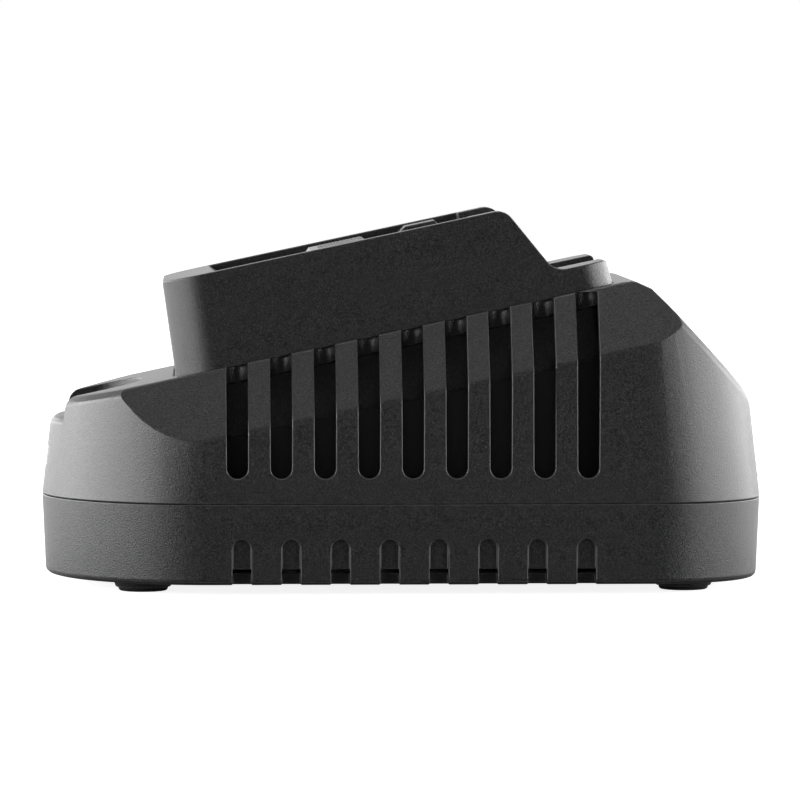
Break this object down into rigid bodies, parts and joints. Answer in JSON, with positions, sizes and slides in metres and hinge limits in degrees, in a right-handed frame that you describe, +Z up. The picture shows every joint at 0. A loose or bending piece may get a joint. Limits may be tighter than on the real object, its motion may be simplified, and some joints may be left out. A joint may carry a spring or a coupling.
{
  "type": "power tool battery charger",
  "caption": "Desktop charger for slide-on power tool batteries: two-part vented housing, tilted battery dock with contact block, mains inlet, rubber feet and the charging electronics.",
  "frame": {"origin": "middle of the footprint at the height of the table the feet stand on", "axes": "+X along the body from the low nose to the mains inlet at the tall rear end, +Y to the right side seen from the nose, +Z up"},
  "size_m": [0.1686, 0.088, 0.0879],
  "materials": {
    "housing_plastic": "fine spark-eroded grain, black",
    "dock_plastic": "fine grain, black, slightly smoother",
    "block_plastic": "smooth, black",
    "contact_brass": "tin-plated copper alloy",
    "screw_steel": "zinc plated",
    "foot_rubber": "matte black",
    "board_laminate": "green solder mask",
    "inlet_plastic": "smooth, black",
    "tinned_metal": "tin plated",
    "fuse_glass": "clear",
    "capacitor_box": "yellow box",
    "ferrite": "sintered ferrite, dark grey",
    "part_plastic": "black moulding compound",
    "capacitor_sleeve": "dark blue sleeve",
    "coil_tape": "amber insulating tape over copper windings",
    "heatsink_aluminium": "extruded",
    "lamp_epoxy": "clear lamp body",
    "window_plastic": "smoked translucent window",
    "power_wire": "red sleeve",
    "signal_wire": "yellow sleeve",
    "lamp_wire": "grey sleeve"
  },
  "bodies": {
    "root": {"upper_shell": "housing_plastic", "lower_shell": "housing_plastic", "dock": "dock_plastic", "terminal_block": "block_plastic", "power_contacts": "contact_brass", "signal_contacts": "contact_brass", "dock_screws": "screw_steel", "housing_screws": "screw_steel", "foot_front_left": "foot_rubber", "foot_front_right": "foot_rubber", "foot_rear_left": "foot_rubber", "foot_rear_right": "foot_rubber", "circuit_board": "board_laminate", "board_screws": "screw_steel", "mains_inlet": "inlet_plastic", "inlet_pins": "tinned_metal", "mains_fuse": "fuse_glass", "fuse_clips": "tinned_metal", "filter_capacitor": "capacitor_box", "choke_core": "ferrite", "choke_base": "part_plastic", "inrush_thermistor": "part_plastic", "bridge_rectifier": "part_plastic", "reservoir_capacitor": "capacitor_sleeve", "transformer_core": "ferrite", "transformer_coil": "coil_tape", "primary_heatsink": "heatsink_aluminium", "secondary_heatsink": "heatsink_aluminium", "switching_transistor": "part_plastic", "output_rectifier": "part_plastic", "output_capacitors": "capacitor_sleeve", "optocoupler": "part_plastic", "control_chip": "part_plastic", "lamp_board": "board_laminate", "status_lamps": "lamp_epoxy", "status_window": "window_plastic", "power_wires": "power_wire", "signal_wires": "signal_wire", "lamp_wires": "lamp_wire", "insulation_sheets": "part_plastic"}
  },
  "joints": []
}
